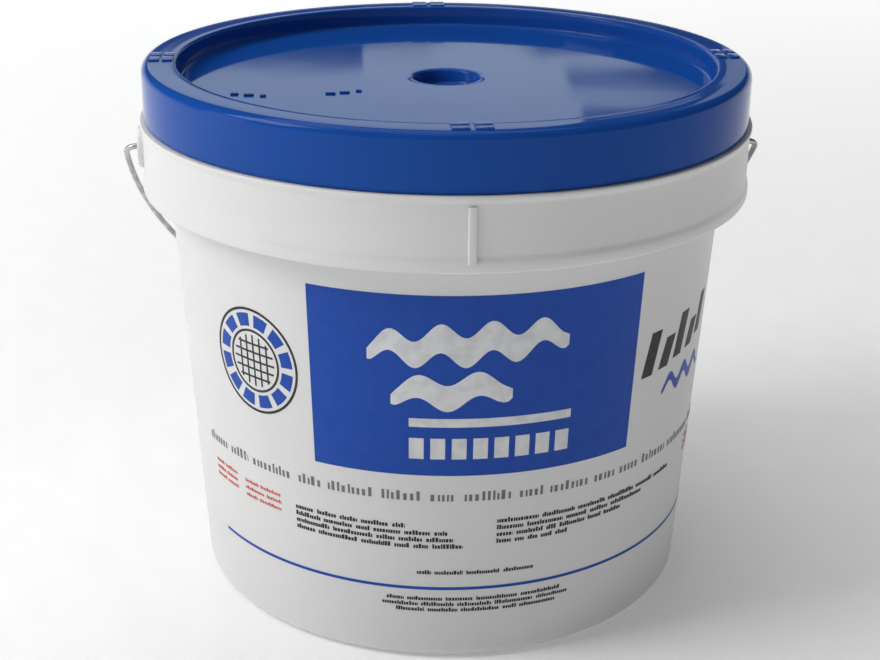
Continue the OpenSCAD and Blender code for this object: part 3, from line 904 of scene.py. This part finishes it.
def build_brails(mono):
    """The brails: monofilament lines that rise out of the horn, curl over and end in crimped loops."""
    route = [(-38, 12, 175), (-38, 12, 192), (-38.5, 12, 204), (-42, 13, 213), (-50, 17, 219),
             (-60, 24, 219), (-70, 33, 213), (-78, 44, 204), (-83, 56, 195), (-82, 68, 188), (-77, 76, 185),
             (-69, 81, 183.2), (-61, 82, 183), (-44, 82, 183)]
    core = smooth_line(route)
    shape = Shape()
    rng = random.Random(3)
    last = len(core) - 1
    for strand in range(16):
        phase = TAU * strand / 16
        out = (3.7 if strand % 2 else 2.0) + rng.uniform(-0.3, 0.3)
        points = []
        side = Vector((1, 0, 0))
        for i, point in enumerate(core):
            along = (core[min(i + 1, last)] - core[max(i - 1, 0)]).normalized()
            side = (side - along * side.dot(along)).normalized()
            turn = phase + 0.012 * i
            spread = out * (1 - 0.35 * max(0.0, (i - last + 24) / 24)) * MM
            points.append(point + (side * math.cos(turn) + along.cross(side) * math.sin(turn)) * spread)
        shape.add(*sweep(points, 0.5 * MM, 6))
    eye = Matrix.Translation(SWIVEL + Vector((-31.5 * MM, 0, 0)))
    for lean in (-9.5, 0.5, 10.5):
        tilt = eye @ Matrix.Rotation(math.radians(lean), 4, "Z")
        loop = upright_ring(Vector(), 6 * MM, 36)
        shape.add(*sweep([tilt @ p for p in loop], 0.55 * MM, 6, closed=True))
    piece = shape.piece("brail_strands", mono)
    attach(piece, "pail")
    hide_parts("brail_lines")


def build_knot(rope):
    """The loop through the swivel's eye and the wraps that close it."""
    shape = Shape()
    loop = upright_ring(SWIVEL + Vector((33 * MM, 0, 0)), 7.5 * MM, 48)
    shape.add(*sweep(loop, 3 * MM, 12, braid(4, 1.0, 0.1), closed=True))
    wraps = []
    turns, steps = 4, 40
    for s in range(turns * steps + 1):
        a = TAU * s / steps
        out = 4 * (0.55 + 0.45 * math.sin(math.pi * s / (turns * steps)))
        wraps.append(SWIVEL + Vector((41.5 + 3.2 * s / steps, out * math.cos(a), out * math.sin(a))) * MM)
    shape.add(*sweep(wraps, 2.9 * MM, 12, braid(4, 1.0, 0.1)))
    core = [SWIVEL + Vector((39 + 3 * s, 0, 0)) * MM for s in range(7)]
    shape.add(*sweep(core, 3 * MM, 12))
    piece = shape.piece("hand_line_hitch", rope)
    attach(piece, "swivel_eye")
    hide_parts("hand_line_knot")


def hand_line_path():
    """Route of the hand line: from the knot along the mound, 20 turns of coil, tail and wrist loop."""
    run = [(54, 82, 183), (62, 82, 182.4), (72, 80, 180.4), (82, 75, 177.6), (91, 66, 175.8),
           (99, 54, 175.2), (104.5, 40, 175.2), (108, 24, 175.2), (109, 8, 175.2), (109, -8, 175.2),
           (109, -22, 175.2)]
    tail = [(42, -78.2, 193.2), (33, -80, 193), (24, -79.5, 190.5), (15, -77, 186), (7, -73.5, 181.2),
            (0, -69.5, 177.4), (-6, -66.5, 175.4)]
    rings = [57, 51, 45, 39, 33]
    radii = (rings + rings[::-1]) * 2
    heights = [z for z in (175.2, 181.2, 187.2, 193.2) for _ in range(5)]
    coil = wound((52, -22), radii, heights, 0, 19 + 100 / 360, -1)
    loop = []
    for a in range(-4, 364, 4):
        t = clamped((a - 250) / 80)
        r = 36 - 6.6 * t * t * (3 - 2 * t)
        loop.append((-47 + r * math.cos(math.radians(a)), -59 + r * math.sin(math.radians(a)), 175.4))
    return smooth_line(run)[:-1] + coil[:-1] + smooth_line(tail + loop[1:], 4)


def build_hand_line(rope, thread):
    points = hand_line_path()
    shape = Shape()
    shape.add(*sweep(points, 3 * MM, 12, braid(4, 1.05, 0.1)))
    piece = shape.piece("hand_line_rope", rope)
    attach(piece, "pail")
    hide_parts("hand_line_run", "hand_line_coil", "hand_line_tail", "wrist_loop")

    winding = Shape()
    middle = Vector((-14.2, -58.6, 175.6)) * MM
    wraps = []
    turns, steps = 13, 28
    for s in range(turns * steps + 1):
        a = TAU * s / steps
        along = (s / steps - turns / 2) * 1.15
        wraps.append(middle + Vector((6.9 * math.cos(a), along, 3.7 * math.sin(a))) * MM)
    winding.add(*sweep(wraps, 0.62 * MM, 6))
    bind = winding.piece("loop_thread", thread)
    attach(bind, "pail")
    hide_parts("loop_whipping")


def dress(node, material):
    """Gives a CAD piece whose shape is right its own material."""
    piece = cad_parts[node]
    piece.data.materials.clear()
    piece.data.materials.append(material)


def webbing_material():
    """Layers of clear knotted netting seen together: pale strands over gaps darkened with painted shade, in
    two sizes.
    """
    material, shader = new_material("net_webbing_layers")
    coords = add_node(material, "ShaderNodeTexCoord")
    height = None
    for angle, scale in ((28, 105), (-31, 112), (74, 190)):
        turned = add_node(material, "ShaderNodeMapping", Rotation=(0.2, 0.3, math.radians(angle)))
        link(material, coords, "Object", turned, "Vector")
        strands = add_node(material, "ShaderNodeTexWave", Scale=scale, Distortion=2.4, Detail=2.0)
        link(material, turned, "Vector", strands, "Vector")
        if height is None:
            height = strands
            continue
        most = add_node(material, "ShaderNodeMath")
        most.operation = "MAXIMUM"
        link(material, height, value_of(height), most, 0)
        link(material, strands, "Fac", most, 1)
        height = most
    # Painted shade: the colour darkens where the strands' height is low, in the gaps between them.
    set_colour(material, shader, height, (0.33, 0.40, 0.37), (0.74, 0.79, 0.76), 0.55, 0.97)
    gloss = object_noise(material, 300, 3)
    set_roughness(material, shader, gloss, 0.28, 0.5)
    set_bump(material, shader, height, 0.7, 0.5 * MM)
    set_inputs(shader, Subsurface_Weight=0.25, Subsurface_Radius=(0.9, 1.0, 0.95), Subsurface_Scale=0.003)
    return material


def rope_material(name, colour, shade, fibre_mm=0.25, roughness=0.7):
    """Braided fibre: streaks of slightly different yarns and a dry, fuzzy surface."""
    material, shader = new_material(name)
    yarns = object_noise(material, 500, 3, (1, 1, 0.4))
    set_colour(material, shader, yarns, shade, colour, 0.35, 0.6)
    fibres = object_noise(material, 1 / (fibre_mm * MM), 3, (1, 1, 0.3))
    set_roughness(material, shader, fibres, roughness * 0.85, roughness * 1.15)
    set_bump(material, shader, fibres, 0.35, 0.12 * MM)
    set_inputs(shader, Sheen_Weight=0.25)
    return material


def monofilament(name):
    """Clear nylon line with a faint green cast."""
    material, shader = new_material(name)
    cloud = object_noise(material, 200, 2)
    set_colour(material, shader, cloud, (0.70, 0.78, 0.73), (0.86, 0.90, 0.87))
    set_roughness(material, shader, cloud, 0.12, 0.28)
    set_inputs(shader, Transmission_Weight=0.35, IOR=1.5)
    return material


# ---------------------------------------------------------------- camera and light

def build_camera():
    """The photograph's viewing angle: 21.6 degrees down, a little left of the collar's rib."""
    data = bpy.data.cameras.new("camera")
    data.sensor_width = 36
    data.lens = 66.42
    data.clip_end = 20
    camera = bpy.data.objects.new("camera", data)
    turn = Matrix.Rotation(math.radians(-4.37), 4, "Z")
    tilt = Matrix.Rotation(math.radians(90 - 21.59), 4, "X")
    roll = Matrix.Rotation(math.radians(0.62), 4, "Z")
    side = math.radians(4.5)
    away = 0.8272
    place = Matrix.Translation((-away * math.sin(side), -away * math.cos(side), 0.4525))
    camera.matrix_world = place @ turn @ tilt @ roll
    bpy.context.scene.collection.objects.link(camera)
    bpy.context.scene.camera = camera


def soft_box(name, position, target, size, power, colour=(1, 1, 1), shape="RECTANGLE"):
    data = bpy.data.lights.new(name, "AREA")
    data.shape = shape
    data.size, data.size_y = size
    data.energy = power
    data.color = colour
    light = bpy.data.objects.new(name, data)
    light.location = position
    aim = Vector(target) - Vector(position)
    light.rotation_euler = aim.to_track_quat("-Z", "Y").to_euler()
    bpy.context.scene.collection.objects.link(light)


def floor_material():
    """Pale floor paper that glows, a painted light: faintly beside the object and more strongly further
    out, so that it stays pale there too and lights the pail's lower wall from below.
    """
    material, shader = new_material("studio_paper")
    fibres = object_noise(material, 40, 4)
    set_colour(material, shader, fibres, (0.88, 0.88, 0.88), (0.92, 0.92, 0.92))
    set_inputs(shader, Roughness=0.8, Emission_Color=(1, 1, 1, 1))
    coords = add_node(material, "ShaderNodeTexCoord")
    length = add_node(material, "ShaderNodeVectorMath")
    length.operation = "LENGTH"
    link(material, coords, "Object", length, "Vector")
    # Painted light: the glow rises from 0.16 beside the object to 0.9 at 2.6 m out.
    glow = add_node(material, "ShaderNodeMapRange", From_Min=0.12, From_Max=2.6, To_Min=0.16, To_Max=0.9)
    link(material, length, "Value", glow, "Value")
    link(material, glow, "Result", shader, "Emission Strength")
    return material


def behind_card(name, across, upward, shape="ELLIPSE", radiance=0.95):
    """An upright pale card behind the object. Its picture shows in the gloss of the lid."""
    width = across[1] - across[0]
    height = upward[1] - upward[0]
    centre = Vector((sum(across) / 2, 2.4, sum(upward) / 2))
    area = width * height * (math.pi / 4 if shape == "ELLIPSE" else 1)
    soft_box(name, centre, centre - Vector((0, 1, 0)), (width, height), radiance * math.pi * area,
             colour=(0.88, 1.0, 0.96), shape=shape)


def build_backdrop():
    """A low pale wall round the far edge of the floor, so that a low view doesn't end in the dark."""
    material, shader = new_material("studio_backdrop")
    coords = add_node(material, "ShaderNodeTexCoord")
    axes = add_node(material, "ShaderNodeSeparateXYZ")
    link(material, coords, "Object", axes, "Vector")
    fade = add_node(material, "ShaderNodeMapRange", From_Max=1.2, To_Min=0.78, To_Max=0.3)
    link(material, axes, "Z", fade, "Value")
    link(material, fade, "Result", shader, "Emission Strength")
    set_inputs(shader, Emission_Color=(1, 1, 1, 1))
    shape = Shape()
    profile = [(13.9, -0.02), (14.3, 0.2), (14.5, 1.0), (14.5, 2.6), (14.7, 2.6), (14.7, -0.02)]
    shape.add(*lathe(profile, 96))
    shape.piece("studio_backdrop", material)


def build_studio():
    """A wide pale floor, lit from above, with the key from the left and cards for the lid's gloss."""
    shape = Shape()
    sink = -0.5 * MM
    shape.add(*lathe([(0, sink), (0.6, sink), (3.0, sink), (14.0, sink)], 96, closed=False))
    floor = shape.piece("studio_floor", floor_material(), smooth=False)
    build_backdrop()
    soft_box("overhead", (-0.3, 0.3, 2.2), (0, 0.1, 0), (2.2, 1.8), 20)
    soft_box("key", (-1.5, -0.3, 1.4), (0, 0, 0.1), (0.9, 0.9), 20)
    soft_box("low_left", (-1.5, -0.1, 0.45), (0, 0, 0.15), (0.5, 0.7), 1.6)
    behind_card("card_left", (-0.62, 0.02), (0.785, 1.47), "RECTANGLE")
    behind_card("card_middle", (0.02, 0.30), (0.75, 1.47), "RECTANGLE")
    behind_card("card_island", (0.03, 0.47), (0.728, 1.12))
    behind_card("card_finger", (0.30, 0.71), (0.833, 0.880))
    behind_card("card_wedge", (0.34, 0.62), (0.758, 0.804))
    behind_card("card_right", (0.74, 1.00), (0.60, 1.40), radiance=0.5)
    world = bpy.data.worlds.new("studio")
    world.use_nodes = True
    set_inputs(world.node_tree.nodes["Background"], Color=(0.92, 0.95, 1.0, 1), Strength=0.035)
    bpy.context.scene.world = world
    bpy.context.scene.view_settings.view_transform = "Standard"


build_camera()

white_plastic = moulded_plastic("white_polyethylene", (0.74, 0.74, 0.735), (0.71, 0.71, 0.70), 0.34,
                                sheen_depth=0.12)
blue_plastic = moulded_plastic("blue_polyethylene", (0.009, 0.072, 0.35), (0.008, 0.064, 0.32), 0.06,
                               grain=0.03, level=0.10)
grip_white = moulded_plastic("grip_polyethylene", (0.78, 0.78, 0.76), (0.72, 0.72, 0.70), 0.45)
zinc = metal("zinc_wire", (0.55, 0.56, 0.57), (0.36, 0.37, 0.38), 0.35)
blue_ink = ink("ink_blue", (0.010, 0.070, 0.40), (0.008, 0.062, 0.37), 0.35)
white_ink = ink("ink_white", (0.75, 0.76, 0.77), (0.62, 0.63, 0.65))
black_ink = ink("ink_black", (0.025, 0.025, 0.028), (0.04, 0.04, 0.045))
grey_ink = ink("ink_grey", (0.16, 0.16, 0.165), (0.22, 0.22, 0.225))
red_ink = ink("ink_red", (0.62, 0.05, 0.06), (0.70, 0.12, 0.12))

webbing = webbing_material()
mono = monofilament("nylon_line")
hand_rope = rope_material("rope_pale", (0.74, 0.73, 0.68), (0.56, 0.55, 0.50))
lead_rope = rope_material("rope_green", (0.04, 0.20, 0.12), (0.02, 0.11, 0.07))
twine = rope_material("twine_green", (0.05, 0.28, 0.14), (0.03, 0.17, 0.09))
thread = rope_material("thread_black", (0.03, 0.03, 0.03), (0.015, 0.015, 0.017), 0.15, 0.5)
lead = metal("cast_lead", (0.30, 0.31, 0.33), (0.17, 0.175, 0.19), 0.5, bump_mm=0.08)
brass = metal("turned_brass", (0.72, 0.50, 0.20), (0.60, 0.40, 0.15), 0.25, (1, 6, 1))
aluminium = metal("crimped_aluminium", (0.72, 0.73, 0.74), (0.60, 0.61, 0.62), 0.35)
horn_white = moulded_plastic("horn_polymer", (0.78, 0.78, 0.75), (0.72, 0.72, 0.69), 0.3, sheen_depth=0.1)
tie_nylon = moulded_plastic("tie_nylon", (0.80, 0.77, 0.68), (0.72, 0.69, 0.60), 0.4, sheen_depth=0.1)

build_hand_line(hand_rope, thread)
build_heap(webbing)
build_meshes(mono)
build_lead_line(lead_rope, lead)
build_lashing(twine)
build_brails(mono)
build_knot(hand_rope)
for node, material in (("horn", horn_white), ("lead_line_ties", tie_nylon), ("coil_tie", tie_nylon),
                       ("brail_sleeves", aluminium), ("swivel_brail_eye", brass), ("swivel_barrel", brass),
                       ("swivel_hand_eye", brass)):
    dress(node, material)

build_pail(white_plastic)
build_lid(blue_plastic)
build_bail(zinc, grip_white)
build_print((blue_ink, white_ink, black_ink, grey_ink, red_ink))
build_studio()
